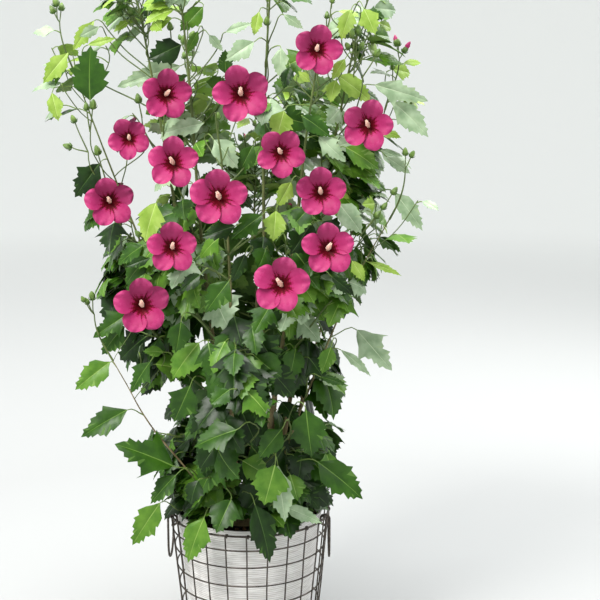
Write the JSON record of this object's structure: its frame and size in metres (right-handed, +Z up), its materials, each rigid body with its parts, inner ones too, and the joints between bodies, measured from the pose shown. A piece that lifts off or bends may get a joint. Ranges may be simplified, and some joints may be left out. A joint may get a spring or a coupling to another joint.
{
  "type": "hibiscus shrub",
  "caption": "Flowering rose-of-Sharon hibiscus, a vase-shaped clump of slender leafy stems, rooted in a round wire basket with a pale ribbed liner and drop handles.",
  "frame": {"origin": "centre of the basket's flat underside, on the surface that it stands on", "axes": "+Z up along the stems, -Y towards the shrub's front, +X towards its right as seen from the front"},
  "size_m": [0.6065, 0.5356, 1.1117],
  "materials": {
    "wire": "dull dark grey, slightly rough",
    "liner": "off-white split reed, matt and finely ribbed",
    "soil": "crumbly dark potting compost",
    "bark": "pale tan-brown bark, greener towards the tips",
    "foliage": "mid-green leaves with a soft gloss",
    "petals": "deep magenta-pink petals, satin"
  },
  "bodies": {
    "shrub_and_basket": {"basket_floor": "wire", "wire_basket": "wire", "reed_liner": "liner", "soil": "soil", "foliage_back_left_mid": "foliage", "foliage_back_left_skirt": "foliage", "foliage_back_left_tip": "foliage", "foliage_back_right_mid": "foliage", "foliage_back_right_skirt": "foliage", "foliage_back_right_tip": "foliage", "foliage_back_tip": "foliage", "foliage_back_waist": "foliage", "foliage_centre_tip": "foliage", "foliage_centre_upper": "foliage", "foliage_far_left_mid": "foliage", "foliage_far_left_skirt": "foliage", "foliage_far_left_tip": "foliage", "foliage_far_right_mid": "foliage", "foliage_far_right_skirt": "foliage", "foliage_far_right_tip": "foliage", "foliage_front_skirt": "foliage", "foliage_front_tip": "foliage", "foliage_front_waist": "foliage", "foliage_left_centre_mid": "foliage", "foliage_left_centre_tip": "foliage", "foliage_left_tip": "foliage", "foliage_left_upper": "foliage", "foliage_left_waist": "foliage", "foliage_low_left_skirt": "foliage", "foliage_low_left_tip": "foliage", "foliage_low_right_skirt": "foliage", "foliage_low_right_tip": "foliage", "foliage_right_centre_mid": "foliage", "foliage_right_centre_tip": "foliage", "foliage_right_tip": "foliage", "foliage_right_upper": "foliage", "foliage_right_waist": "foliage", "stem_back": "bark", "stem_back_left": "bark", "stem_back_right": "bark", "stem_centre": "bark", "stem_far_left": "bark", "stem_far_right": "bark", "stem_front": "bark", "stem_left": "bark", "stem_left_centre": "bark", "stem_low_left": "bark", "stem_low_right": "bark", "stem_right": "bark", "stem_right_centre": "bark", "woody_crown": "bark"},
    "left_drop_handle": {"left_handle": "wire"},
    "right_drop_handle": {"right_handle": "wire"}
  },
  "joints": [
    {"name": "left_handle_swing", "type": "hinge", "parent": "shrub_and_basket", "child": "left_drop_handle", "pos_m": [-0.1184, 0, 0.222], "axis": [0, 1, 0], "range_deg": [0, 90]},
    {"name": "right_handle_swing", "type": "hinge", "parent": "shrub_and_basket", "child": "right_drop_handle", "pos_m": [0.1184, 0, 0.222], "axis": [0, -1, 0], "range_deg": [0, 90]}
  ]
}
